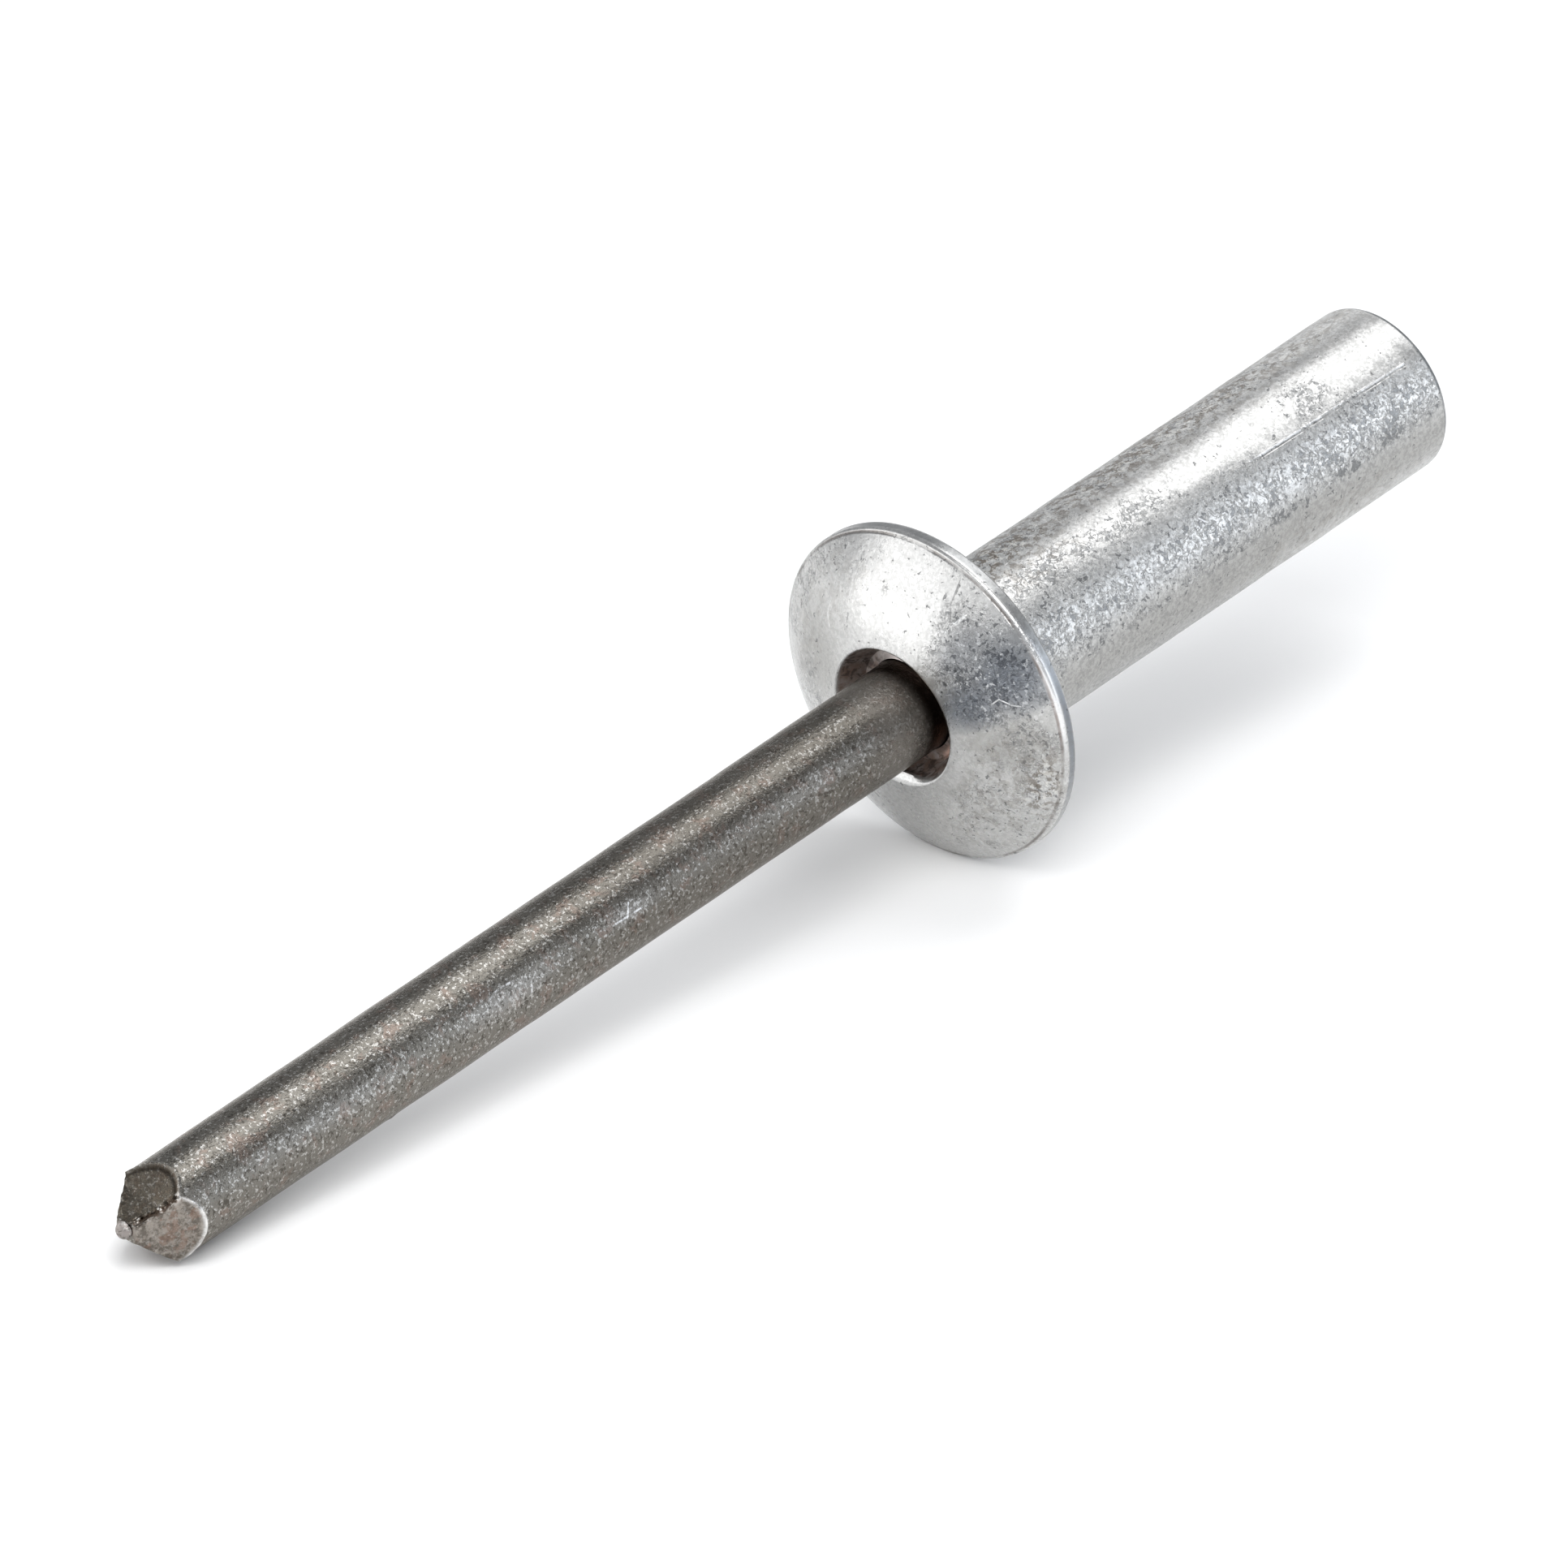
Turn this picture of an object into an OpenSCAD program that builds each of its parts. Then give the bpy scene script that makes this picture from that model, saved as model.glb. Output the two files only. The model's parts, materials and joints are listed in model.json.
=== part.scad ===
// Closed-end blind rivet, before it is set: a cup of soft metal swaged round its headed mandrel.
// It lies as it comes to rest, on the rim of its head and on the foot of its mandrel's point.
// The origin is the centre of the head's bearing face. +X runs towards the closed end, +Z is up.

/* [Shank] */
// Diameter of the shank
shank_d = 4.8; // [4.4:0.1:6.4]
// Length of the shank, from the head's bearing face to the closed end
shank_len = 17.8; // [8:0.1:30]
// Radius of the closed end's outer edge
end_round = 0.25; // [0.05:0.05:0.6]
// Thickness of the closed end's wall
end_wall = 1.3; // [0.6:0.1:3]
// Fillet between the shank and the bearing face
seat_fillet = 0.12; // [0.04:0.02:0.3]

/* [Head] */
// Diameter of the head
head_d = 9.69; // [8:0.01:14]
// Height of the head, from its bearing face to the mouth's edge
head_h = 1.8; // [1.3:0.05:2.4]
// Thickness of the head at its rim
rim_t = 0.4; // [0.3:0.02:0.8]
// Radius of the rim's two edges
rim_round = 0.12; // [0.04:0.01:0.13]

/* [Mouth] */
// Depth of the mouth, from its edge to the ledge round the mandrel
mouth_depth = 0.8; // [0.3:0.05:1.6]
// Width of the ledge at the mouth's floor
ledge_w = 0.265; // [0.1:0.005:0.5]
// How far the mouth widens from its floor to its edge, on each side
mouth_flare = 0.36; // [0.1:0.01:0.6]
// Radius of the mouth's edge
lip_round = 0.08; // [0.02:0.01:0.1]

/* [Mandrel] */
// Diameter of the mandrel's stem
stem_d = 2.67; // [2.2:0.01:3.1]
// Reach of the mandrel, from the head's bearing face to the end of its point
stem_out = 31.78; // [20:0.01:50]
// Clearance between the mandrel and the body that is swaged round it
grip_clearance = 0.02; // [0.01:0.01:0.06]

/* [Mandrel head] */
// How far the mandrel's head stands out past the stem, on each side
bulb_lip = 0.33; // [0.15:0.01:0.5]
// Length of the mandrel head's full width
bulb_len = 1.1; // [0.6:0.1:3]
// Radius of the mandrel head's end
bulb_round = 0.6; // [0.1:0.1:1.1]
// Air space between the mandrel's head and the closed end's wall
end_play = 0.4; // [0.1:0.1:1.5]
// Depth of the neck where the mandrel breaks
neck_depth = 0.25; // [0.1:0.05:0.6]
// Length of the neck's floor
neck_len = 0.3; // [0.1:0.1:1]

/* [Point] */
// Angle between each pinched facet and the axis
facet_slope = 34.8; // [20:0.1:50]
// Turn of the facets about the axis, counted from straight down
facet_roll = 7.7; // [0:0.1:45]
// Width across the flats of the point's cut end
point_flat = 0.56; // [0.3:0.02:1.2]
// Radius of the nib where the wire parted
nib_r = 0.24; // [0.1:0.01:0.5]

/* [Hidden] */

turn_steps = 96; // sides of a full turn
dome_steps = 24; // chords of the dome
round_steps = 6; // chords of a rounded edge
facets = 4;
seat_angle = 45; // slope of the mandrel head's underside, and of the wall that it seats on

shank_r = shank_d / 2;
head_r = head_d / 2;
stem_r = stem_d / 2;
bore_r = stem_r + grip_clearance;
ledge_r = bore_r + ledge_w;
mouth_r = ledge_r + mouth_flare;
bulb_r = stem_r + bulb_lip;
cavity_r = bulb_r + grip_clearance;
neck_r = stem_r - neck_depth;

// Heights along the axis, from the bearing face towards the closed end
mouth_z = -head_h;
ledge_z = mouth_z + mouth_depth;
cavity_end_z = shank_len - end_wall;
bulb_end_z = cavity_end_z - end_play;
bulb_shoulder_z = bulb_end_z - bulb_len;
cavity_shoulder_z = bulb_shoulder_z - grip_clearance * tan(seat_angle / 2);
bore_end_z = cavity_shoulder_z - (cavity_r - bore_r) / tan(seat_angle);
neck_top_z = bulb_shoulder_z - (bulb_r - neck_r) / tan(seat_angle);
neck_foot_z = neck_top_z - neck_len;
stem_top_z = neck_foot_z - neck_depth / tan(seat_angle);

// The dome is part of a ball centred on the axis, through the rim's edge and the mouth's edge
dome_z = (head_r * head_r + rim_t * rim_t - mouth_r * mouth_r - head_h * head_h) / (2 * (head_h - rim_t));
dome_r = norm([head_r, rim_t + dome_z]);
dome_rim_angle = -acos(head_r / dome_r);
dome_mouth_angle = -acos(mouth_r / dome_r);

// The point: its facets would meet at the apex, and its nib ends at the mandrel's reach
nib_z = nib_r - stem_out;
flat_z = nib_z;
apex_z = flat_z - point_flat / 2 / tan(facet_slope);
facet_reach = stem_d / sin(facet_slope);

// At rest the floor touches the rim's rounded edge and the foot of the lowest facet
rim_contact = [head_r - rim_round, rim_round * tan(-dome_rim_angle / 2) - rim_t];
foot_contact = [stem_r, apex_z + stem_r * cos(facet_roll) / tan(facet_slope)];
foot_to_rim = rim_contact - foot_contact;
rest_tilt = atan2(foot_to_rim[0], foot_to_rim[1]) + asin(rim_round / norm(foot_to_rim));

$fn = turn_steps;

// Unit vector from one point towards another
function toward(p, q) = (q - p) / norm(q - p);

// Points of an arc about a centre
function arc(centre, radius, from, to, steps) =
    [for (i = [0:steps])
        let (angle = from + (to - from) * i / steps)
        centre + radius * [cos(angle), sin(angle)]];

// Points that round the corner at q, between p and s, to the radius r
function corner(p, q, s, r) =
    let (u = toward(q, p))
    let (v = toward(q, s))
    let (half = acos(u * v) / 2)
    let (centre = q + (u + v) / norm(u + v) * r / sin(half))
    let (first = q + u * r / tan(half) - centre)
    let (side = sign(cross(u, v)))
    let (start = atan2(first[1], first[0]))
    arc(centre, r, start, start - side * (180 - 2 * half), round_steps);

// An outline of [x, y, radius] corners, with each corner rounded to its radius
function outline(corners) =
    let (n = len(corners))
    let (at = [for (c = corners) [c[0], c[1]]])
    [for (i = [0:n - 1])
        let (before = at[(i + n - 1) % n])
        let (after = at[(i + 1) % n])
        let (radius = corners[i][2])
        each radius == 0 ? [at[i]] : corner(before, at[i], after, radius)];

// Chords of the dome, from the rim's edge to the mouth's edge, without the two ends
function dome() =
    let (chord = arc([0, dome_z], dome_r, dome_rim_angle, dome_mouth_angle, dome_steps))
    [for (i = [1:dome_steps - 1]) [chord[i][0], chord[i][1], 0]];

// Lays down what is built along the axis, closed end up, as it rests
module laid() {
    rotate([0, 90 - rest_tilt, 0])
        children();
}

// Outer half-space of one facet, with its face through the apex
module facet_cut() {
    translate([0, 0, apex_z])
        rotate([0, facet_slope, 0])
            translate([0, -stem_d, -facet_reach])
                cube([stem_d * 2, stem_d * 2, facet_reach * 3]);
}

// One-piece body: domed head, shank, flared mouth, swaged bore and the closed end's cavity
module rivet_body() {
    color("silver")
        laid()
            rotate_extrude()
                polygon(outline([
                    [0, shank_len, 0],
                    [shank_r, shank_len, end_round],
                    [shank_r, 0, seat_fillet],
                    [head_r, 0, rim_round],
                    [head_r, -rim_t, rim_round],
                    each dome(),
                    [mouth_r, mouth_z, lip_round],
                    [ledge_r, ledge_z, 0],
                    [bore_r, ledge_z, 0],
                    [bore_r, bore_end_z, 0],
                    [cavity_r, cavity_shoulder_z, 0],
                    [cavity_r, cavity_end_z, 0],
                    [0, cavity_end_z, 0],
                ]));
}

// Steel mandrel: upset head, break neck, stem, and a point pinched to four facets with a nib
module mandrel() {
    color("dimgray")
        laid() {
            difference() {
                rotate_extrude()
                    polygon(outline([
                        [0, bulb_end_z, 0],
                        [bulb_r, bulb_end_z, bulb_round],
                        [bulb_r, bulb_shoulder_z, 0],
                        [neck_r, neck_top_z, 0],
                        [neck_r, neck_foot_z, 0],
                        [stem_r, stem_top_z, 0],
                        [stem_r, flat_z, 0],
                        [0, flat_z, 0],
                    ]));
                for (i = [0:facets - 1])
                    rotate([0, 0, facet_roll + i * 360 / facets])
                        facet_cut();
            }
            translate([0, 0, nib_z])
                sphere(r = nib_r);
        }
}

rivet_body();
mandrel();
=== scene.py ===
"""Closed-end blind rivet, lying as it comes to rest, on a pale floor under soft studio light.

Both pieces are turned here as fine meshes round the axis that the frame gives, with the dents, the pinched
point and the burrs of the real ones, and get their metals from procedural materials, which paint shade,
highlights and glints into the colour in places.
Sizes are millimetres in the rivet's own axes: x down and y across from the axis, z along it from the head's
bearing face towards the closed end. Turns about the axis are degrees from straight down.
"""

import json
import math

import bpy
import numpy as np
from mathutils import Matrix, Vector


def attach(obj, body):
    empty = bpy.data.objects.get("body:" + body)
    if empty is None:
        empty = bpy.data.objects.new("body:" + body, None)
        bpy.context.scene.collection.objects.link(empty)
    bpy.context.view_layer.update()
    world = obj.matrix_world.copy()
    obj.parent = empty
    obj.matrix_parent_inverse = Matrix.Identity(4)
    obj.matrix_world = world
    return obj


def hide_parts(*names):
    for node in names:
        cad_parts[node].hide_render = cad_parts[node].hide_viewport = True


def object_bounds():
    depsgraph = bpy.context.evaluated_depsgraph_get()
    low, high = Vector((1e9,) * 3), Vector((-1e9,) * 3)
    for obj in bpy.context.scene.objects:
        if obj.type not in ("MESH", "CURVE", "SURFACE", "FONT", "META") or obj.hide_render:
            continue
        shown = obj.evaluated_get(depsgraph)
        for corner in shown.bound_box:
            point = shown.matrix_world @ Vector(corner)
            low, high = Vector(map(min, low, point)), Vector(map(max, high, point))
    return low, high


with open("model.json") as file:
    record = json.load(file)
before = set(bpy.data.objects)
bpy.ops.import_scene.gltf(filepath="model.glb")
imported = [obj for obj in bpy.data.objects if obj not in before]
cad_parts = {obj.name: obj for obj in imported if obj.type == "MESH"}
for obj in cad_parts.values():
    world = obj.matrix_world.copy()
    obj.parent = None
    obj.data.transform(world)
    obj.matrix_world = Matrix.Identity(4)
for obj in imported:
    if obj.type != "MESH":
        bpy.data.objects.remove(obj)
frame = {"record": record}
cad_low, cad_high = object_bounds()

MM = 0.001
rng = np.random.default_rng(48)

# How many vertices a ring of either piece has, and from what angle up its edges are sharp, in degrees
SIDES = 320
SHARP_ANGLE = 40

# The frame's own sizes
mounts = {mount["name"]: mount for mount in frame["record"]["mounts"]}
AXIS = Vector(mounts["shank"]["axis"]).normalized()
ACROSS = Vector((0, 1, 0))
DOWN = ACROSS.cross(AXIS)
SHANK_R = mounts["shank"]["dims"]["r_mm"]
STEM_R = mounts["stem"]["dims"]["r_mm"]
FLOOR_Z = cad_low.z

# Body, in millimetres
SHANK_LEN = 17.8
END_ROUND = 0.25
END_WALL = 1.3
SEAT_FILLET = 0.12
HEAD_R = 4.845
HEAD_H = 1.8
RIM_T = 0.4
RIM_ROUND = 0.12
MOUTH_DEPTH = 0.8
LEDGE_Z = MOUTH_DEPTH - HEAD_H
LEDGE_WIDTH = 0.265
MOUTH_FLARE = 0.36
GRIP_CLEARANCE = 0.02
BORE_R = STEM_R + GRIP_CLEARANCE
LEDGE_R = BORE_R + LEDGE_WIDTH
MOUTH_R = LEDGE_R + MOUTH_FLARE
LIP_ROUND = 0.08
# The dome lies on a ball: the height of its middle, its radius and how many points its outline has
DOME_Z = (HEAD_R**2 + RIM_T**2 - MOUTH_R**2 - HEAD_H**2) / (2 * (HEAD_H - RIM_T))
DOME_R = math.hypot(HEAD_R, RIM_T + DOME_Z)
DOME_POINTS = 34

# Mandrel, in millimetres and degrees
STEM_OUT = 31.78
BULB_OUT = 0.33
BULB_R = STEM_R + BULB_OUT
BULB_LEN = 1.1
BULB_ROUND = 0.6
END_PLAY = 0.4
SEAT_SLACK = 0.01
NECK_IN = 0.25
NECK_R = STEM_R - NECK_IN
NECK_LEN = 0.3
FACET_SLOPE = 34.8
FACET_ROLL = 7.7
FACET_TURN = 90
POINT_FLAT = 0.56
NIB_R = 0.24
NIB_Z = NIB_R - STEM_OUT
NIB_WORN = 0.03
NIB_TAPER = 0.98
NIB_ROUND = 0.2
APEX_Z = NIB_Z - POINT_FLAT / 2 / math.tan(math.radians(FACET_SLOPE))
CAVITY_R = BULB_R + GRIP_CLEARANCE
CAVITY_END_Z = SHANK_LEN - END_WALL
BULB_END_Z = CAVITY_END_Z - END_PLAY
BULB_SHOULDER_Z = BULB_END_Z - BULB_LEN
CAVITY_SHOULDER_Z = BULB_SHOULDER_Z - SEAT_SLACK
NECK_TOP_Z = BULB_SHOULDER_Z - (BULB_R - NECK_R)
NECK_FOOT_Z = NECK_TOP_Z - NECK_LEN

# The photograph's view, in pixels, radians and millimetres
PHOTO_SIDE = 1932
PHOTO_SEAT_CENTRE = (1154.9, 845.9)
PX_PER_MM = 47.2157
VIEW_TURN = math.radians(48.346)
VIEW_ELEVATION = math.radians(27.416)
VIEW_DISTANCE = 1000
SENSOR = 36
CLIP_START = 0.05


# Outlines

def corner(before, at, after, radius, steps=6):
    """Points that round the corner at `at` to the radius."""
    before, at, after = (np.array(p, float) for p in (before, at, after))
    u = (before - at) / np.linalg.norm(before - at)
    v = (after - at) / np.linalg.norm(after - at)
    half = math.acos(np.clip(u @ v, -1, 1)) / 2
    centre = at + (u + v) / np.linalg.norm(u + v) * radius / math.sin(half)
    first = at + u * radius / math.tan(half) - centre
    last = at + v * radius / math.tan(half) - centre
    start = math.atan2(first[1], first[0])
    sweep = math.atan2(first[0] * last[1] - first[1] * last[0], first @ last)
    turns = start + sweep * np.linspace(0, 1, steps + 1)
    return centre + radius * np.stack([np.cos(turns), np.sin(turns)], 1)


def outline(corners):
    """A fine outline from (radius, height, rounding, spacing up to the next corner)."""
    rough = []
    for i, (r, z, rounding, spacing) in enumerate(corners):
        if rounding:
            for p in corner(corners[i - 1][:2], (r, z), corners[i + 1][:2], rounding):
                rough.append((p, rounding))
            rough[-1] = (rough[-1][0], spacing)
        else:
            rough.append((np.array([r, z], float), spacing))
    points = [rough[0][0]]
    for (p, spacing), (q, _) in zip(rough, rough[1:]):
        steps = max(1, math.ceil(np.linalg.norm(q - p) / spacing))
        points += [p + (q - p) * k / steps for k in range(1, steps + 1)]
    return np.array(points)


def dome_corners(spacing):
    """Points of the dome, on its ball, from the rim towards the mouth."""
    start = -math.acos(HEAD_R / DOME_R)
    stop = -math.acos(MOUTH_R / DOME_R)
    turns = np.linspace(start, stop, DOME_POINTS)[1:-1]
    return [(DOME_R * math.cos(a), DOME_Z + DOME_R * math.sin(a), 0, spacing) for a in turns]


def body_outline():
    """From the closed end's middle round the outside and through the mouth to the cavity's far end."""
    fine, hidden = 0.14, 2.5
    return outline([
        (0, SHANK_LEN, 0, 0.12),
        (SHANK_R, SHANK_LEN, END_ROUND, fine),
        (SHANK_R, 0, SEAT_FILLET, 0.15),
        (HEAD_R, 0, RIM_ROUND, 0.06),
        (HEAD_R, -RIM_T, RIM_ROUND, 0.1),
        *dome_corners(0.2),
        (MOUTH_R, -HEAD_H, LIP_ROUND, 0.04),
        (LEDGE_R, LEDGE_Z, 0, 0.06),
        (BORE_R, LEDGE_Z, 0, hidden),
        (BORE_R, CAVITY_SHOULDER_Z - CAVITY_R + BORE_R, 0, hidden),
        (CAVITY_R, CAVITY_SHOULDER_Z, 0, hidden),
        (CAVITY_R, CAVITY_END_Z, 0, hidden),
        (0, CAVITY_END_Z, 0, hidden),
    ])


def mandrel_outline():
    """From the trapped head along the stem to the nib; finest at the point, where the facets are cut."""
    finest, fine, hidden = 0.03, 0.2, 1.5
    seen_from = 0.4
    foot_z = APEX_Z + STEM_R / math.tan(math.radians(FACET_SLOPE)) / math.cos(math.pi / 4)
    return outline([
        (0, BULB_END_Z, 0, 0.4),
        (BULB_R, BULB_END_Z, BULB_ROUND, hidden),
        (BULB_R, BULB_SHOULDER_Z, 0, hidden),
        (NECK_R, NECK_TOP_Z, 0, hidden),
        (NECK_R, NECK_FOOT_Z, 0, hidden),
        (STEM_R, NECK_FOOT_Z - NECK_IN, 0, hidden),
        (STEM_R, seen_from, 0, fine),
        (STEM_R, foot_z + 0.1, 0, finest),
        (STEM_R, NIB_Z, 0, finest),
        (NIB_R, NIB_Z, 0, finest),
        (NIB_R * NIB_TAPER, NIB_Z - NIB_R + NIB_WORN, NIB_ROUND, finest),
        (0, NIB_Z - NIB_R + NIB_WORN, 0, 1),
    ])


# Forms

def wander(turn, z, waves, seed):
    """Smooth noise of about unit height; waves is (most round the form, most for a millimetre)."""
    draw = np.random.default_rng(seed)
    count = 24
    total = np.zeros_like(z)
    for _ in range(count):
        round_it = draw.integers(0, waves[0] + 1)
        along = draw.uniform(-waves[1], waves[1]) * 2 * math.pi
        total += np.cos(round_it * turn + along * z + draw.uniform(0, 2 * math.pi))
    return total / math.sqrt(count / 2)


def around(turn, at_turn):
    """Turn from a place, within half a turn either way."""
    return (turn - at_turn + math.pi) % (2 * math.pi) - math.pi


def dents(turn, r, z, places):
    """Shallow round dents at (turn, height, radius, depth), 0 where there is none."""
    sunk = np.zeros_like(z)
    for at_turn, at_z, radius, depth in places:
        away = np.hypot(around(turn, at_turn) * r, z - at_z) / radius
        sunk -= depth * np.clip(1 - away**2, 0, None) ** 2
    return sunk


def patches(turn, along, places):
    """Soft-edged patches at (degrees, along, half width in degrees, half length, strength)."""
    total = np.zeros_like(turn)
    for degrees, at, wide, long, strength in places:
        across = np.degrees(around(turn, math.radians(degrees))) / wide
        away = across**2 + ((along - at) / long) ** 2
        total = np.maximum(total, strength * np.exp(-away**1.5))
    return total


def scattered(count, z_range, radii, depths):
    """Random dents anywhere round the piece, as dents() takes them."""
    return [
        (rng.uniform(0, 2 * math.pi), rng.uniform(*z_range), rng.uniform(*radii), rng.uniform(*depths))
        for _ in range(count)
    ]


def step(value, low, high):
    """0 below low and 1 above high, smooth between them."""
    t = np.clip((value - low) / (high - low), 0, 1)
    return t * t * (3 - 2 * t)


def rings(points):
    """Turn, radius and height of every vertex between an outline's two ends, one row for each ring."""
    turn = np.arange(SIDES) * 2 * math.pi / SIDES
    inner = points[1:-1]
    shape = (len(inner), SIDES)
    return (
        np.broadcast_to(turn, shape).copy(),
        np.broadcast_to(inner[:, :1], shape).copy(),
        np.broadcast_to(inner[:, 1:], shape).copy(),
    )


def outward(points):
    """Outward normals of an outline that runs from the closed end to the inside, at all but its ends."""
    along = points[2:] - points[:-2]
    along /= np.linalg.norm(along, axis=1)[:, None]
    return np.stack([-along[:, 1], along[:, 0]], 1)


def ring_faces(count):
    """Faces between so many rings, and fans at both ends round the two vertices that follow the rings'."""
    last_ring = (count - 1) * SIDES
    first, last = count * SIDES, count * SIDES + 1
    faces = []
    for i in range(SIDES):
        j = (i + 1) % SIDES
        faces.append((first, i, j))
        faces.append((last, last_ring + j, last_ring + i))
        for a in range(0, last_ring, SIDES):
            b = a + SIDES
            faces.append((a + i, b + i, b + j, a + j))
    return faces


def turned_piece(name, node, turn, r, z, ends, masks):
    """A closed mesh from rings and the heights of its two ends on the axis, in the place of a CAD node."""
    local = np.stack([r * np.cos(turn), r * np.sin(turn), z], 2).reshape(-1, 3)
    local = np.vstack([local, [[0, 0, ends[0]], [0, 0, ends[1]]]])
    axes = np.array([DOWN, ACROSS, AXIS])
    mesh = bpy.data.meshes.new(name)
    mesh.from_pydata((local @ axes * MM).tolist(), [], ring_faces(len(r)))
    mesh.shade_smooth()
    mesh.set_sharp_from_angle(angle=math.radians(SHARP_ANGLE))
    for mask, values in masks.items():
        layer = mesh.attributes.new(mask, "FLOAT", "POINT")
        values = np.append(np.clip(values, 0, 1).ravel(), (0, 0))
        layer.data.foreach_set("value", values.astype(np.float32))
    piece = bpy.data.objects.new(name, mesh)
    bpy.context.scene.collection.objects.link(piece)
    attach(piece, "root")
    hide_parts(node)
    return piece


# Slow waves all over both pieces: their height, and how many heights they lie below the outline
WAVE, WAVES_BELOW = 0.004, 2.2
# Small dents: how many, and the least and the most of their heights, radii and depths
SHANK_DENTS = (90, (0.5, 17.2), (0.2, 0.7), (0.003, 0.010))
HEAD_DENTS = (50, (-1.7, -0.4), (0.2, 0.5), (0.003, 0.008))
STEM_DENTS = (120, (-31, -1), (0.15, 0.5), (0.002, 0.008))
# Where the shank is pitted: (degrees, height, half width, half length, strength)
SHANK_PITS = [
    (248, 14.8, 27, 3.6, 1.0),
    (244, 9.0, 28, 5.0, 0.75),
    (240, 3.0, 30, 3.8, 0.85),
    (258, 15.2, 9, 2.8, 1.0),
    (263, 10.0, 6, 3.0, 0.95),
    (275, 8.0, 18, 10.0, 0.6),
    (206, 3.0, 18, 2.6, 0.72),
    (207, 6.2, 13, 2.2, 0.62),
    (206, 13.7, 16, 0.9, 0.72),
    (160, 2.5, 26, 3.5, 1.0),
    (160, 9.0, 22, 7.0, 0.75),
    (60, 5.0, 50, 7.0, 0.8),
    (30, 14.0, 60, 4.0, 0.9),
    (110, 12.0, 30, 6.0, 0.7),
    (330, 10.0, 25, 6.0, 0.5),
    (285, 9.0, 24, 9.0, 0.55),
]
# The same on the dome, with the radius in place of the height
DOME_PITS = [
    (236, 3.5, 24, 1.3, 1.0),
    (212, 3.6, 12, 1.2, 0.6),
    (275, 4.2, 34, 0.9, 0.55),
    (304, 3.6, 42, 1.4, 0.4),
    (60, 3.4, 50, 1.0, 0.7),
    (120, 4.4, 40, 0.5, 0.5),
]
# Where the shank and the dome are stained with brown specks, and the dome's patch of painted shade, which
# stands for the dark mandrel's reflection, in those terms
SHANK_STAINS = [
    (164, 1.8, 32, 4.0, 1.0),
    (160, 9.0, 24, 9.0, 0.8),
    (195, 3.0, 16, 2.2, 0.35),
    (60, 9.0, 40, 9.0, 0.5),
    (300, 13.0, 24, 4.0, 0.3),
]
DOME_STAINS = [(286, 4.35, 17, 0.45, 0.8), (300, 3.5, 42, 1.2, 0.35), (120, 3.8, 50, 1.2, 0.2)]
DOME_PAINTED_SHADE = [
    (240, 4.0, 17, 1.2, 1.0),
    (247, 2.8, 17, 1.0, 1.0),
    (224, 3.3, 12, 0.9, 0.6),
]
# Where the dome's painted shade ends: in degrees at the rim, and how far that veers for each millimetre
# inwards.
# The same for the shank's pits, from the head along the axis
SHADE_EDGE, SHADE_EDGE_VEER = 252.5, 4.5
PIT_EDGE, PIT_EDGE_VEER = 271, -0.45
# The rim's patches of painted shade; the rest of it has a lighter painted shade
RIM_PAINTED_SHADE = [(262, -0.25, 42, 1.0, 0.95), (190, -0.25, 52, 1.0, 0.55)]
# Painted shade, a darker tone on the shank, mostly its lower side, and on the dome, and a painted highlight,
# a bright streak on the rim's edge, as patches
SHANK_DIMMING = [(280, 9.0, 20, 14.0, 1.0), (150, 9.0, 26, 14.0, 0.3)]
DOME_DIMMING = [(268, 3.7, 13, 1.2, 1.0), (102, 3.0, 28, 1.2, 1.0)]
RIM_PAINTED_HIGHLIGHT = [(250, -RIM_T, 20, 0.09, 1.0)]
# Where the mouth is soiled up to its edge, where its wall and its ledge are cleaner, and where the ledge is
# painted pale as painted light and its corner coppery and painted bright, as patches
MOUTH_SOILED = [(115, -HEAD_H, 62, 1.0, 1.0), (298, -HEAD_H, 28, 1.0, 1.0)]
MOUTH_CLEAN = [(225, -HEAD_H + 0.4, 42, 1.0, 0.8)]
LEDGE_CLEAN = [(190, LEDGE_Z, 50, 0.3, 0.7)]
LEDGE_PAINTED_LIGHT = [(194, LEDGE_Z, 42, 0.3, 1.0)]
MOUTH_COPPERY = [(298, LEDGE_Z, 24, 0.3, 1.0)]
# The ledge's inner edge is swaged up where it is clean, in degrees and millimetres
BEAD_AT, BEAD_WIDTH, BEAD = 195, 45, 0.17
# Where the mouth's edge is smeared inwards, in degrees, by how much, and how deep its bevel and its root lie,
# in millimetres
SMEAR_AT, SMEAR_WIDTH, SMEAR = 358, 24, 0.20
SMEAR_BEVEL, SMEAR_ROOT = 0.13, 0.45
# A shallow hollow that the die drew along the shank: its deepest line, the crisp edge's place at the far end,
# how far that edge veers for each millimetre and how wide the other side is, in degrees; then its depth,
# where it begins and ends, and how long it takes to fade there
HOLLOW_AT, HOLLOW_EDGE, HOLLOW_VEER, HOLLOW_FADE = 206, 224.2, 0.46, 30
HOLLOW, HOLLOW_FROM, HOLLOW_TO = 0.038, 9.5, 17.4
HOLLOW_NEAR_FADE, HOLLOW_FAR_FADE = 2.5, 0.4


def smeared_lip(turn, r, z):
    """How far the mouth's edge and the wall behind it stand inwards."""
    off = np.degrees(around(turn, math.radians(SMEAR_AT))) / SMEAR_WIDTH
    depth = z + HEAD_H
    bevel = np.clip(depth / SMEAR_BEVEL, 0, 1) * (1 - step(depth, SMEAR_BEVEL, SMEAR_ROOT))
    return SMEAR * np.exp(-off**2) * bevel * (r < MOUTH_R) * (z < LEDGE_Z - 0.05)


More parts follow.
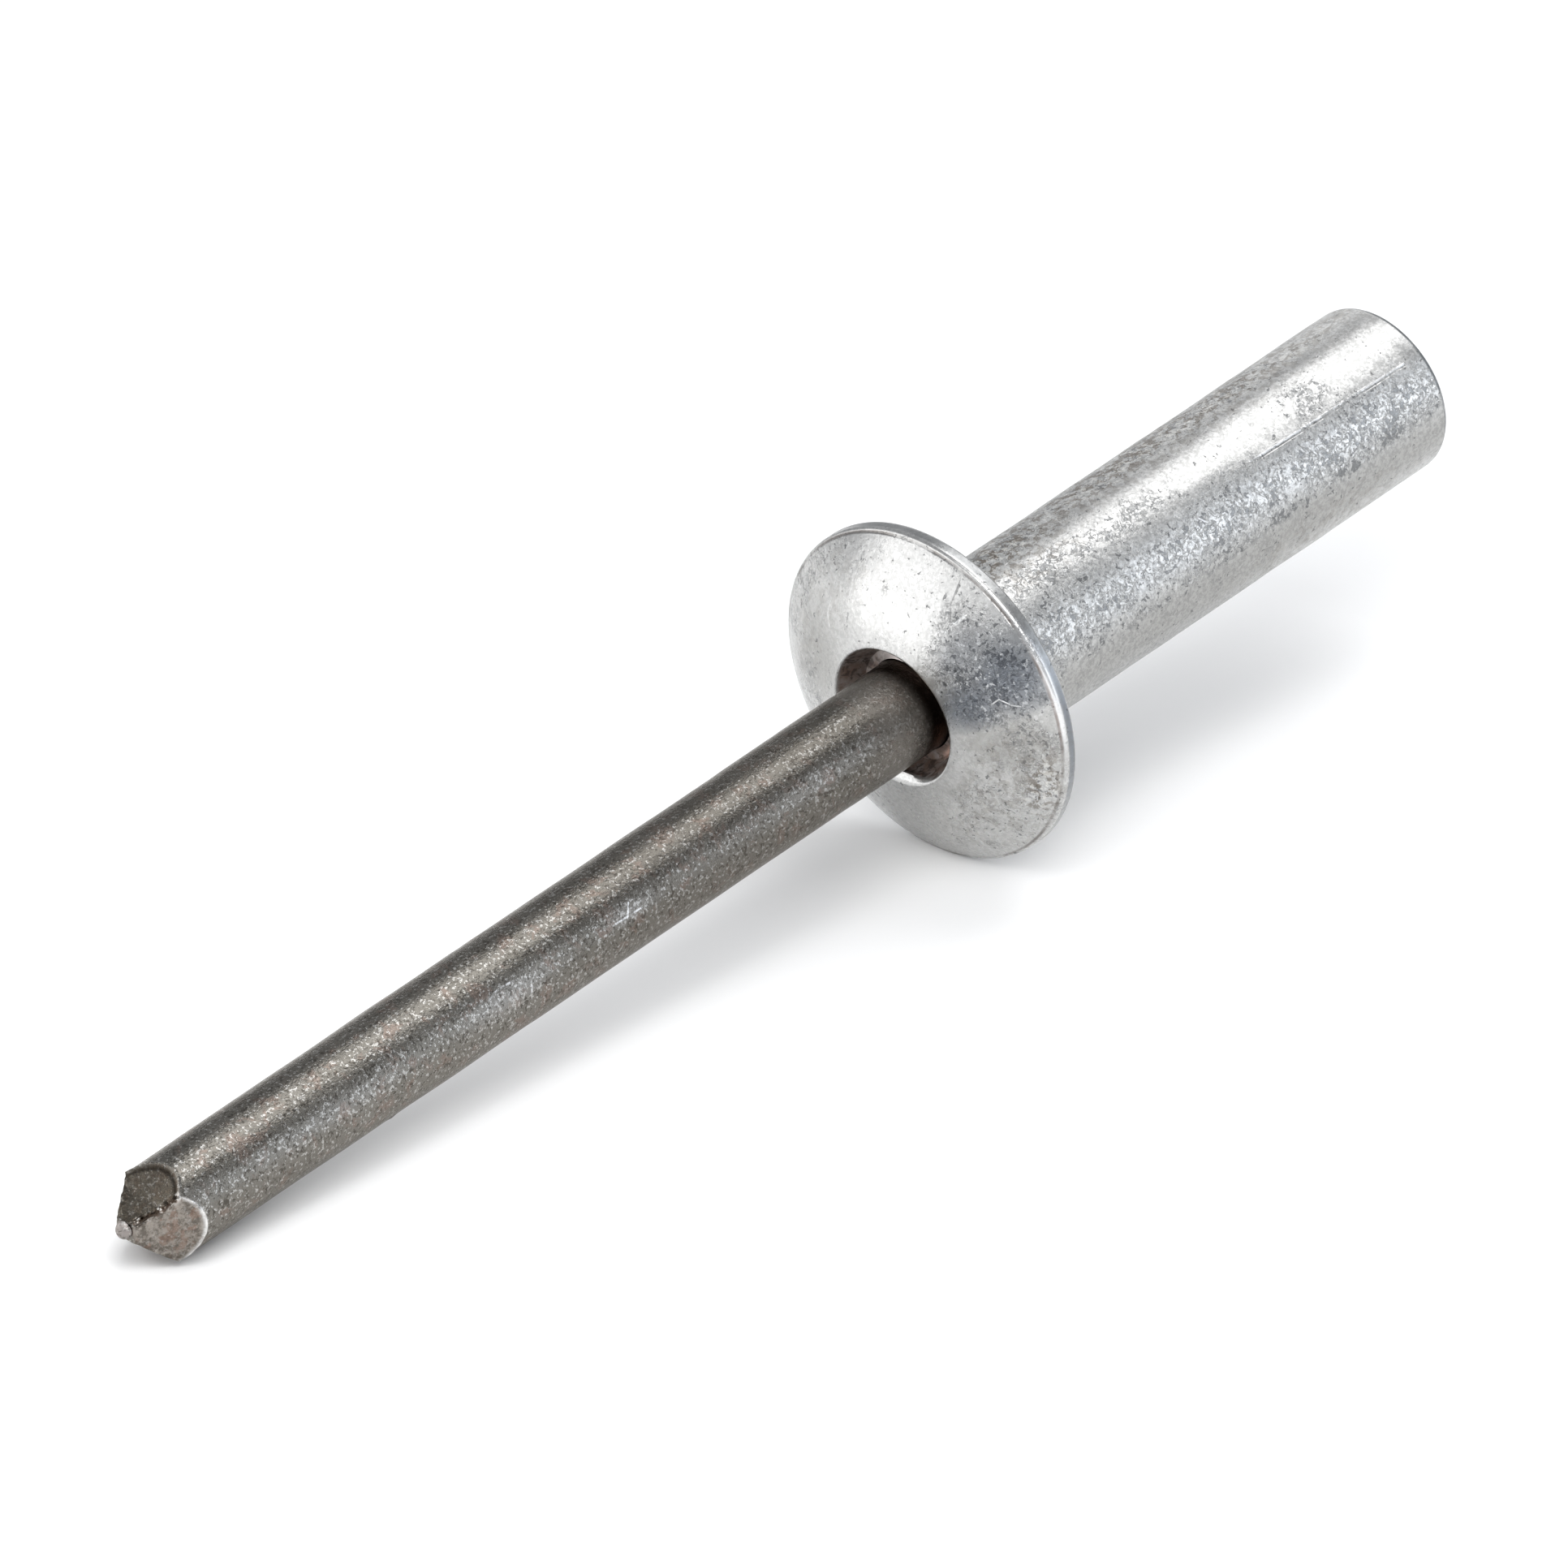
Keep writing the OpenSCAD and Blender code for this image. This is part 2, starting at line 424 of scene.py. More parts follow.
def ledge_bead(turn, r, z):
    """How far the ledge's inner edge stands up towards the mouth."""
    off = np.degrees(around(turn, math.radians(BEAD_AT))) / BEAD_WIDTH
    inner = np.clip((LEDGE_R - r) / (LEDGE_R - BORE_R), 0, 1)
    return BEAD * np.exp(-off**2) * inner * (np.abs(z - LEDGE_Z) < 0.01)


def die_hollow(turn, z):
    """How deep the hollow lies under the shank's round."""
    off = np.degrees(around(turn, math.radians(HOLLOW_AT)))
    edge = HOLLOW_EDGE - HOLLOW_AT + HOLLOW_VEER * (z - HOLLOW_TO)
    crisp = np.clip(1 - (off / edge) ** 2, 0, None)
    soft = np.cos(np.clip(off / HOLLOW_FADE, -1, 0) * math.pi / 2) ** 2
    near = step(z, HOLLOW_FROM, HOLLOW_FROM + HOLLOW_NEAR_FADE)
    ends = near * (1 - step(z, HOLLOW_TO - HOLLOW_FAR_FADE, HOLLOW_TO))
    return HOLLOW * ends * np.where(off > 0, crisp, soft)


def mouth_grime(turn, z, on_ledge):
    """Brown grime over most of the mouth's depth, up to its edge in places and thin on part of its ledge."""
    deep = step(z, -HEAD_H + 0.10, -HEAD_H + 0.22) * (1 - patches(turn, z, MOUTH_CLEAN))
    soiled = np.maximum(deep, patches(turn, z, MOUTH_SOILED))
    return soiled * (1 - on_ledge * patches(turn, z, LEDGE_CLEAN))


def kept_pits(turn, z):
    """1 up to the line where the shank's pits end, little past it, and 1 again on the far side."""
    edge = np.radians(PIT_EDGE + PIT_EDGE_VEER * z)
    past = np.degrees(around(turn, edge)) + 0.7 * wander(turn, z, (9, 0.8), 21)
    return 1 - 0.75 * step(past, -2.5, 2.5) * (1 - step(past, 25, 50))


def body_zones(r, z):
    """Masks of the body's parts: each is 1 on its part and 0 off it."""
    head = 1 - step(z, -0.35, -0.2)
    mouth = head * (1 - step(r, MOUTH_R - 0.06, MOUTH_R))
    return {
        "shank": step(z, -0.1, 0.1),
        "head": head,
        "dome": head * step(r, MOUTH_R - 0.05, MOUTH_R + 0.1),
        "rim": (r > HEAD_R - 0.05) * step(z, -RIM_T + 0.06, -RIM_T + 0.12) * (1 - step(z, -0.12, -0.04)),
        "mouth": mouth,
        "ledge": mouth * step(z, LEDGE_Z - 0.06, LEDGE_Z - 0.01),
        "corner": step(r, BORE_R + 0.12, BORE_R + 0.20) * step(z, LEDGE_Z - 0.18, LEDGE_Z - 0.08),
    }


def body_wear(turn, r, z, on):
    """How far the outside stands out from its outline: nowhere above 0, with slow waves and small dents."""
    wear = WAVE * (wander(turn, z, (6, 0.35), 3) - WAVES_BELOW)
    wear += on["shank"] * dents(turn, r, z, scattered(*SHANK_DENTS))
    wear += on["head"] * dents(turn, r, z, scattered(*HEAD_DENTS))
    return wear * step(r[:, :1], BORE_R + 0.02, BORE_R + 0.1)


def body_masks(turn, r, z, on):
    """What the aluminium's material needs to know of every vertex."""

    def shank(places):
        return on["shank"] * patches(turn, z, places)

    def dome(places):
        return on["dome"] * patches(turn, r, places)

    shade_edge = SHADE_EDGE + SHADE_EDGE_VEER * (HEAD_R - r)
    dull = patches(turn, r, DOME_PAINTED_SHADE) * (1 - step(np.degrees(turn) - shade_edge, -1.5, 2))
    rim_shade = patches(turn, z, RIM_PAINTED_SHADE)
    return {
        "pitting": shank(SHANK_PITS) * kept_pits(turn, z) + dome(DOME_PITS),
        "dullness": np.maximum(on["dome"] * dull, on["rim"] * rim_shade),
        "film": shank(SHANK_DIMMING) + dome(DOME_DIMMING) + on["rim"] * (1 - rim_shade),
        "polished": (r > HEAD_R - 0.08) * patches(turn, z, RIM_PAINTED_HIGHLIGHT),
        "pale": on["ledge"] * patches(turn, z, LEDGE_PAINTED_LIGHT),
        "coppery": on["mouth"] * on["corner"] * patches(turn, z, MOUTH_COPPERY),
        "stains": shank(SHANK_STAINS) + dome(DOME_STAINS),
        "grime": on["mouth"] * mouth_grime(turn, z, on["ledge"]),
    }


def make_body():
    points = body_outline()
    turn, r, z = rings(points)
    normal = outward(points)
    on = body_zones(r, z)
    masks = body_masks(turn, r, z, on)
    wear = body_wear(turn, r, z, on)
    inwards = smeared_lip(turn, r, z) + on["shank"] * (r > SHANK_R - 0.1) * die_hollow(turn, z)
    upwards = ledge_bead(turn, r, z)
    r += normal[:, :1] * wear - inwards
    z += normal[:, 1:] * wear - upwards
    ends = points[[0, -1], 1]
    return turned_piece("aluminium_body", "rivet_body", turn, r, z, ends, masks)


# Brighter worn patches on the mandrel: (degrees, height, half width, half length, strength)
STEM_WORN = [
    (250, -18.2, 16, 1.7, 1.0),
    (244, -13.4, 12, 1.0, 0.8),
    (246, -25.0, 14, 3.0, 0.5),
    (240, -6.0, 14, 3.0, 0.45),
    (60, -15.0, 30, 8.0, 0.6),
]
# Burrs that stand out from the stem: (degrees, height, radius, height of the burr)
STEM_BURRS = [(314, -22.5, 0.12, 0.03), (100, -12.0, 0.15, 0.02)]
# The burr round the facets: its height and width, and how far outside the facets' edge its crest lies
BURR_H, BURR_WIDTH, BURR_OUT = 0.035, 0.035, 0.01
# The groove inside the darker facet's border, painted dark as painted shade: its width and depth, and how far
# inside the border it lies
GROOVE_WIDTH, GROOVE_DEPTH, GROOVE_IN = 0.035, 0.02, 0.07
# The torn ridges between the facets: the height and width of the ragged metal
TORN_H, TORN_WIDTH = 0.035, 0.10
# The facets are a little hollow: how deep, and how far from a ridge the deepest place lies
DISH_DEPTH, DISH_AT = 0.02, 0.8
# No facet reaches further up from the apex than this
FACET_LEN = 2.6
# The pinch was uneven: one ridge is turned, and the metal beside it lies deeper, in degrees and millimetres
RIDGE_AT, RIDGE_TURNED, RIDGE_SPAN, RIDGE_DEEPER = 232.7, 7, 40, 0.08
# The facet painted darker as painted shade and the one whose burr is painted bright as a painted highlight:
# the middle in degrees, and the cosines between which each begins
SHADED_FACET, BRIGHT_FACET = (183.5, 0.70, 0.75), (274.5, 0.64, 0.69)
# The nib is bent aside: which way, how far, and how much of the point bends with it
NIB_LEAN_AT, NIB_LEAN, NIB_LEAN_LENGTH = 145, 0.12, 0.7
# The side on which the nib is thicker, and by how much of its radius
NIB_THICK_AT, NIB_THICKER = 200, 0.2


def side(turn, degrees, low, high):
    """1 round the turn given in degrees, and 0 where the cosine of the turn from it is below low."""
    return step(np.cos(turn - math.radians(degrees)), low, high)


def point_form(turn, r, z):
    """The stem's rings cut to the point: four pinched facets with a burr round each and torn ridges between.
    Gives the new radius, and how far a place is on a burr, in the darker facet's groove and on a torn ridge."""
    pitch = math.radians(FACET_TURN)
    beside = np.exp(-(np.degrees(around(turn, math.radians(RIDGE_AT))) / RIDGE_SPAN) ** 2)
    uneven_turn = turn + math.radians(RIDGE_TURNED) * beside - math.radians(FACET_ROLL)
    off = (uneven_turn + pitch / 2) % pitch - pitch / 2
    reach = np.clip((z - APEX_Z) * math.tan(math.radians(FACET_SLOPE)), 0.01, None) / np.cos(off)
    reach -= RIDGE_DEEPER * beside * step(z, NIB_Z, NIB_Z + 0.4)
    off_floor = 1 - step(np.cos(turn), 0.7, 0.9)
    uneven = np.clip(0.8 + 0.25 * wander(turn, z, (24, 2), 11), 0.2, 1.5)
    burr = off_floor * uneven * np.exp(-((reach - STEM_R - BURR_OUT) / BURR_WIDTH) ** 2)
    made = np.minimum(r, reach)
    ridge = made * np.sin(pitch / 2 - np.abs(off)) / TORN_WIDTH
    on_facet = (reach < r) * (z > NIB_Z + 0.02)
    torn = np.exp(-ridge**2) * on_facet * off_floor * (0.3 + 0.7 * beside)
    ragged = TORN_H * wander(turn, z, (34, 6), 12) * torn
    dished = -DISH_DEPTH * np.clip(1 - (ridge * TORN_WIDTH / DISH_AT - 1) ** 2, 0, None) * on_facet
    groove = side(turn, *SHADED_FACET) * np.exp(-((reach - STEM_R + GROOVE_IN) / GROOVE_WIDTH) ** 2)
    return made + BURR_H * burr - GROOVE_DEPTH * groove + ragged + dished, burr, groove, torn


def bent_nib(turn, r, z):
    """The rings with the nib leaning aside, as their new turns and radii."""
    lean = NIB_LEAN * np.clip(1 - (z - NIB_Z) / NIB_LEAN_LENGTH, 0, 1)
    x = r * np.cos(turn) + lean * math.cos(math.radians(NIB_LEAN_AT))
    y = r * np.sin(turn) + lean * math.sin(math.radians(NIB_LEAN_AT))
    return np.arctan2(y, x), np.hypot(x, y)


def make_mandrel():
    points = mandrel_outline()
    turn, r, z = rings(points)
    stem = (1 - step(z, -0.6, -0.2)) * step(z, NIB_Z - 0.05, NIB_Z + 0.3)
    worn = stem * patches(turn, z, STEM_WORN)
    r -= stem * WAVE * (wander(turn, z, (5, 0.3), 7) + WAVES_BELOW)
    r += stem * dents(turn, r, z, scattered(*STEM_DENTS))
    r -= dents(turn, r, z, [(math.radians(t), *rest) for t, *rest in STEM_BURRS])
    nib = z < NIB_Z - 0.01
    cut, burr, groove, torn = point_form(turn, r, z)
    thicker = NIB_THICKER * np.clip(np.cos(turn - math.radians(NIB_THICK_AT)), 0, None)
    r = np.where(nib, r * (1 + thicker + 0.05 * wander(turn, z, (4, 2), 13)), cut)
    facet = (z < APEX_Z + FACET_LEN) * (z > NIB_Z) * step(STEM_R - r, 0.02, 0.06)
    masks = {
        "worn": worn,
        "facet": facet,
        # The top facet, painted darker as painted shade
        "dull": facet * side(turn, *SHADED_FACET),
        "nib": nib,
        "groove": groove * (1 - nib),
        # The burr on one facet, painted bright as a painted highlight
        "burr": burr * (1 - nib) * side(turn, *BRIGHT_FACET),
        "torn": torn * step(z, NIB_Z + 0.05, NIB_Z + 0.2),
    }
    turn, r = bent_nib(turn, r, z)
    ends = points[[0, -1], 1]
    return turned_piece("steel_mandrel", "mandrel", turn, r, z, ends, masks)


# Materials

class Shader:
    """Builds a material's nodes from its tables; most calls give back the socket that they make."""

    def __init__(self, name, noises, levels, paints):
        self.noises, self.levels, self.paints = noises, levels, paints
        self.material = bpy.data.materials.new(name)
        self.material.use_nodes = True
        self.nodes = self.material.node_tree.nodes
        self.links = self.material.node_tree.links
        self.surface = self.nodes["Principled BSDF"]
        tilt = math.atan2(AXIS.z, AXIS.x)
        place = self.nodes.new("ShaderNodeTexCoord").outputs["Object"]
        self.place = self.mapped(place, (1 / MM,) * 3, (0, tilt - math.pi / 2, 0))

    def put(self, socket, value):
        """Sets a socket to a number, a vector or a colour of three parts, or links it to another one."""
        if isinstance(value, bpy.types.NodeSocket):
            self.links.new(value, socket)
        elif socket.type == "RGBA":
            socket.default_value = (*value, 1)
        else:
            socket.default_value = value

    def mapped(self, place, scale, rotation=(0, 0, 0)):
        node = self.nodes.new("ShaderNodeMapping")
        self.put(node.inputs["Vector"], place)
        node.inputs["Scale"].default_value = scale
        node.inputs["Rotation"].default_value = rotation
        return node.outputs[0]

    def parts(self, place):
        node = self.nodes.new("ShaderNodeSeparateXYZ")
        self.put(node.inputs[0], place)
        return node.outputs

    def math(self, operation, *values):
        node = self.nodes.new("ShaderNodeMath")
        node.operation = operation
        for socket, value in zip(node.inputs, values):
            self.put(socket, value)
        return node.outputs[0]

    def times(self, one, other):
        return self.math("MULTIPLY", one, other)

    def plus(self, one, other):
        return self.math("ADD", one, other)

    def minus(self, one, other):
        return self.math("SUBTRACT", one, other)

    def most(self, one, other):
        return self.math("MAXIMUM", one, other)

    def off_by(self, value, middle):
        return self.math("ABSOLUTE", self.minus(value, middle))

    def mask(self, name):
        node = self.nodes.new("ShaderNodeAttribute")
        node.attribute_name = name
        return node.outputs["Fac"]

    def vector(self, operation, one, other):
        node = self.nodes.new("ShaderNodeVectorMath")
        node.operation = operation
        self.put(node.inputs[0], one)
        self.put(node.inputs[3 if operation == "SCALE" else 1], other)
        return node.outputs["Value" if operation in ("DOT_PRODUCT", "LENGTH") else "Vector"]

    def scratch(self, start, stop, width):
        """1 on the straight line between two points in millimetres, fading to 0 at the width."""
        start, stop = Vector(start), Vector(stop)
        along = stop - start
        out = self.vector("SUBTRACT", self.place, start)
        share = self.math("MINIMUM", self.vector("DOT_PRODUCT", out, along / along.length_squared), 1)
        share = self.most(share, 0)
        gap = self.vector("SUBTRACT", out, self.vector("SCALE", along, share))
        return self.ramp(self.vector("LENGTH", gap, (0, 0, 0)), width * 0.3, width, 1, 0)

    def scratches(self, lines):
        """1 on every line of a table of scratches."""
        total = None
        for surface, start, stop, width in lines:
            one = self.scratch(surface(*start), surface(*stop), width)
            total = self.most(total, one) if total else one
        return total

    def noise(self, scale, detail=2.0, roughness=0.5, distortion=0.0, place=None):
        node = self.nodes.new("ShaderNodeTexNoise")
        self.put(node.inputs["Vector"], place or self.place)
        node.inputs["Scale"].default_value = scale
        node.inputs["Detail"].default_value = detail
        node.inputs["Roughness"].default_value = roughness
        node.inputs["Distortion"].default_value = distortion
        return node.outputs[0]

    def ramp(self, value, low, high, start=0.0, stop=1.0):
        """start up to low, stop from high, and smooth between them."""
        node = self.nodes.new("ShaderNodeMapRange")
        node.interpolation_type = "SMOOTHSTEP"
        for socket, number in zip(node.inputs, (value, low, high, start, stop)):
            self.put(socket, number)
        return node.outputs[0]

    def field(self, name, place=None):
        """The noise of that name."""
        return self.noise(*self.noises[name], place=place)

    def level(self, name, value=None):
        """The value, or else the noise of that name, ramped as the levels of that name say."""
        return self.ramp(value or self.field(name), *self.levels[name])

    def mix(self, factor, one, other):
        node = self.nodes.new("ShaderNodeMix")
        node.data_type = "RGBA"
        colours = [s for s in node.inputs if s.type == "RGBA"]
        self.put(node.inputs[0], factor)
        self.put(colours[0], one)
        self.put(colours[1], other)
        return [s for s in node.outputs if s.type == "RGBA"][0]

    def paint(self, under, **masks):
        """Paints from the table over a colour, one after another, each where its mask is."""
        for name, mask in masks.items():
            strength, colour = self.paints[name]
            under = self.mix(mask if strength == 1 else self.times(mask, strength), under, colour)
        return under

    def bump(self, height, depth, normal=None):
        """Bumps `height` of 0 to 1 by depth, in millimetres."""
        node = self.nodes.new("ShaderNodeBump")
        node.inputs["Distance"].default_value = depth * MM
        self.put(node.inputs["Height"], height)
        if normal:
            self.put(node.inputs["Normal"], normal)
        return node.outputs[0]

    def finish(self, colour, roughness, normal, metallic):
        self.put(self.surface.inputs["Metallic"], metallic)
        self.put(self.surface.inputs["Base Color"], colour)
        self.put(self.surface.inputs["Roughness"], roughness)
        self.put(self.surface.inputs["Normal"], normal)
        return self.material


def on_turned(r, degrees, z):
    """A point in the rivet's own axes."""
    turn = math.radians(degrees)
    return (r * math.cos(turn), r * math.sin(turn), z)


def on_shank(degrees, z):
    return on_turned(SHANK_R, degrees, z)


def on_stem(degrees, z):
    return on_turned(STEM_R, degrees, z)


def on_dome(degrees, r):
    return on_turned(r, degrees, DOME_Z - math.sqrt(DOME_R**2 - r**2))


# Bright scratches in the aluminium: the surface, where they start and stop on it, and their width
BRIGHT_LINES = [
    (on_dome, (136.5, 3.42), (131.0, 3.20), 0.03),
    (on_dome, (131.0, 3.20), (129.0, 2.93), 0.035),
    (on_dome, (211.9, 4.05), (210.7, 3.66), 0.06),
    (on_dome, (209.0, 3.38), (208.4, 3.34), 0.06),
    (on_dome, (248.4, 3.37), (246.8, 3.60), 0.03),
    (on_dome, (246.8, 3.60), (250.6, 3.85), 0.03),
    (on_dome, (250.6, 3.85), (251.8, 4.04), 0.03),
    (on_shank, (220.3, 10.9), (223.4, 17.0), 0.035),
    (on_shank, (230.9, 8.39), (236.9, 8.59), 0.06),
    (on_shank, (244.2, 12.73), (249.0, 12.76), 0.04),
]
# Dark ones
DARK_LINES = [
    (on_dome, (202.5, 4.60), (205.0, 4.00), 0.035),
    (on_dome, (205.0, 4.00), (208.7, 3.67), 0.035),
    (on_dome, (147.5, 2.92), (145.0, 2.78), 0.06),
    (on_shank, (222.2, 11.3), (225.0, 17.0), 0.05),
    (on_shank, (249.0, 12.76), (256.4, 12.80), 0.04),
]


# The aluminium's noises: scale for a millimetre, detail, roughness and distortion
ALUMINIUM_NOISES = {
    "mottle": (1.1, 3, 0.6),
    "curls": (4.4, 4, 0.65, 0.7),
    "islands": (1.6, 3, 0.6),
    "clumps": (1.3, 3, 0.6),
    "pits": (6.5, 3, 0.62, 0.3),
    "sparkle": (7.5, 2, 0.6),
    "specks": (3.4, 3, 0.7, 0.5),
    "glints": (4.5, 2, 0.7),
    "uneven": (2.6, 3, 0.7),
    "seam": (0.7, 3, 0.7),
    "grain": (9.0, 3, 0.75),
    "end_line": (1.2, 3, 0.7),
    "soiled": (2.4, 3, 0.6),
    "blots": (3.0, 3, 0.7, 0.8),
    "streaks": (4.5, 3, 0.7, 0.6),
    "relief": (7.0, 3, 0.6, 0.4),
    "waves": (2.0, 3, 0.6),
}
# Between which values each noise, height or radius is ramped, and what it gives below and above them
ALUMINIUM_LEVELS = {
    "head": (-0.35, -0.1, 1, 0),
    "curls": (0.0, 0.06, 0.6, 0),
    "islands": (0.55, 0.85),
    "clumps": (0.38, 0.62, 0.06, 0.21),
    "pits": (0.29, 0.34, 1, 0),
    "sparkle": (0.60, 0.66, 0, 0.5),
    "specks": (0.49, 0.56),
    "glints": (0.55, 0.62),
    "uneven": (0.40, 0.60, 0.25, 1),
    "seam": (0.38, 0.62, 0.2, 0.75),
    "off_seam": (0.01, 0.055, 1, 0),
    "grain": (0.42, 0.58),
    "grain_by_height": (-0.35, -0.1, 0.24, 0.42),
    "end_line": (0.35, 0.6, 0.35, 0.8),
    "end_height": (SHANK_LEN - 0.24, SHANK_LEN - 0.18),
    "end_radius": (SHANK_R - 0.22, SHANK_R - 0.12),
    "soiled": (0.35, 0.7, 0.97, 0.6),
    "blots": (0.49, 0.57, 0, 0.8),
    "streaks": (0.42, 0.55, 0.35, 1),
    "roughness": (0.3, 0.7, 0.32, 0.40),
}
# The bare metal where the mottle is low and high; the seam round the dome, plain and beside the rim's
# painted highlight; and the strength and colour of all that is painted over the metal
ALUMINIUM_DARKER, ALUMINIUM_LIGHTER = (0.52, 0.518, 0.508), (0.62, 0.617, 0.606)
SEAM_PLAIN, SEAM_BY_HIGHLIGHT = (0.15, 0.13, 0.118), (0.17, 0.095, 0.07)
ALUMINIUM_PAINTS = {
    # Painted shade: on the dome it stands for the dark mandrel's reflection, on the rim for shade
    "dull": (0.84, (0.13, 0.15, 0.18)),
    # Painted shade: a darker tone on the shank, mostly its lower side, on parts of the dome and on the rest
    # of the rim
    "film": (0.72, (0.325, 0.32, 0.305)),
    "grain": (1, (0.19, 0.19, 0.185)),
    "sparkle": (1, (0.86, 0.87, 0.88)),
    "marks": (0.70, (0.10, 0.105, 0.11)),
    # Marks painted darker within the painted shade
    "dull_marks": (0.5, (0.05, 0.055, 0.07)),
    "specks": (0.88, (0.13, 0.103, 0.074)),
    "glints": (0.55, (0.88, 0.87, 0.83)),
    "dark": (0.5, (0.16, 0.16, 0.16)),
    "bright": (0.6, (0.85, 0.85, 0.85)),
    # Painted highlight: a bright streak along the rim's edge
    "polished": (1, (0.88, 0.88, 0.88)),
    "end_line": (1, (0.13, 0.14, 0.15)),
    "soiled": (1, (0.155, 0.10, 0.076)),
    "blots": (1, (0.045, 0.028, 0.022)),
    # Painted light: the ledge, which lies in shade, painted near white so that its patch reads as lit
    "pale": (1, (0.98, 0.89, 0.85)),
    # A coppery tint, partly painted light: painted bright in the shaded corner
    "coppery": (1, (0.80, 0.52, 0.42)),
}
# How far the seam lies inside the rim, in millimetres
SEAM_IN = 0.10
# What pitting adds to the islands of crazing, the fine relief's least share, and what pitting adds to that
PITTED_ISLANDS, LEAST_RELIEF, PITTED_RELIEF = 0.46, 0.2, 0.8
# How much smoother the head is, and how much rougher and less metallic the soiled parts, the ledge's painted
# light and the coppery corner are
HEAD_SMOOTHER, MATTE_ROUGHER, MATTE_LESS_METALLIC = 0.09, 0.3, 0.9
# Heights of the aluminium's bumps, in millimetres
MARK_BUMP, RELIEF_BUMP, WAVE_BUMP, LINE_BUMP = -0.010, 0.016, 0.012, 0.012


def aluminium():
    """Soft aluminium, tumbled: satin, pitted and crazed, with brown grime in the mouth, painted shade on the
    dome, the rim and the shank's lower side, a painted highlight on the rim's edge and painted light in the
    mouth.
    """
    s = Shader("tumbled_aluminium", ALUMINIUM_NOISES, ALUMINIUM_LEVELS, ALUMINIUM_PAINTS)
    pitting, dull, stains, grime = (s.mask(name) for name in ("pitting", "dullness", "stains", "grime"))
    film, polished, pale, coppery = (s.mask(name) for name in ("film", "polished", "pale", "coppery"))
    height = s.parts(s.place)[2]
    radius = s.vector("LENGTH", s.vector("MULTIPLY", s.place, (1, 1, 0)), (0, 0, 0))
    head = s.level("head", height)
    mottle = s.field("mottle")
    curls = s.level("curls", s.off_by(s.field("curls"), 0.5))
    islands = s.level("islands", s.plus(s.field("islands"), s.times(pitting, PITTED_ISLANDS)))
    pits = s.level("pits", s.minus(s.field("pits"), s.times(pitting, s.level("clumps"))))
    marks = s.most(s.times(curls, islands), pits)
    uneven = s.level("uneven")
    bright, dark = (s.times(s.scratches(lines), uneven) for lines in (BRIGHT_LINES, DARK_LINES))
    seam = s.level("off_seam", s.off_by(radius, HEAD_R - SEAM_IN))
    seam = s.times(seam, s.times(head, s.level("seam")))
    end_line = s.times(s.level("end_height", height), s.level("end_radius", radius))
    soiled = s.times(grime, s.level("soiled"))

    colour = s.paint(
        s.mix(mottle, ALUMINIUM_DARKER, ALUMINIUM_LIGHTER),
        dull=dull,
        film=film,
        grain=s.times(s.level("grain"), s.level("grain_by_height", height)),
        sparkle=s.times(pitting, s.level("sparkle")),
        marks=marks,
        dull_marks=s.times(marks, dull),
        specks=s.times(stains, s.level("specks")),
        glints=s.times(stains, s.level("glints")),
        dark=dark,
        bright=bright,
        polished=polished,
    )
    colour = s.mix(seam, colour, s.mix(polished, SEAM_PLAIN, SEAM_BY_HIGHLIGHT))
    colour = s.paint(
        colour,
        end_line=s.times(end_line, s.level("end_line")),
        soiled=soiled,
        blots=s.times(grime, s.level("blots")),
        pale=pale,
        coppery=s.times(coppery, s.level("streaks")),
    )
    matte_parts = s.most(soiled, s.most(pale, coppery))
    roughness = s.minus(s.level("roughness", mottle), s.times(head, HEAD_SMOOTHER))
    roughness = s.plus(roughness, s.times(matte_parts, MATTE_ROUGHER))
    metallic = s.minus(1, s.times(matte_parts, MATTE_LESS_METALLIC))

    relief = s.plus(s.times(pitting, PITTED_RELIEF), LEAST_RELIEF)
    normal = s.bump(marks, MARK_BUMP)
    normal = s.bump(s.times(relief, s.field("relief")), RELIEF_BUMP, normal)
    normal = s.bump(s.field("waves"), WAVE_BUMP, normal)
    normal = s.bump(s.minus(bright, s.plus(dark, seam)), LINE_BUMP, normal)
    return s.finish(colour, roughness, normal, metallic)


# Scratches in the steel, in the same terms
STEEL_LINES = [
    (on_stem, (237.9, -18.79), (233.6, -18.4), 0.04),
    (on_stem, (233.6, -18.4), (234.8, -17.77), 0.04),
    (on_stem, (234.6, -13.30), (248.4, -13.54), 0.04),
    (on_stem, (246.7, -14.09), (247.8, -12.97), 0.04),
    (on_stem, (251.0, -17.3), (258.0, -17.35), 0.05),
]


# The steel's noises and levels, as the aluminium's
STEEL_NOISES = {
    "mottle": (1.6, 3, 0.6),
    "grain": (11.0, 3, 0.7),
    "flecks": (9.0, 2, 0.7),
    "pocks": (8.0, 2, 0.7, 0.4),
    "ragged": (5.0, 2, 0.6),
    "rusty": (1.5, 3, 0.65, 0.5),
    "pinched": (5.0, 3, 0.75),
    "pinched_rusty": (2.8, 2, 0.6),
    "waves": (3.0, 3, 0.6),
}
STEEL_LEVELS = {
    "flecks": (0.55, 0.64),
    "pocks": (0.36, 0.46, 1, 0),
    "lines": (0.42, 0.58, 0.15, 1),
    "rusty": (0.53, 0.64),
    "pinched": (0.38, 0.62),
    "pinched_rusty": (0.50, 0.60),
    "grey_by_height": (-20, -10, 0, 0.32),
    "dust_from": (-4.4, -2.6, 0, 0.4),
    "dust_to": (-2.0, -1.55, 1, 0),
    "in_mouth": (-2.05, -1.5, 0, 0.9),
    "torn_dark": (0.48, 0.55, 1, 0),
    "torn_bright": (0.57, 0.61),
    "roughness": (0.3, 0.7, 0.19, 0.27),
}
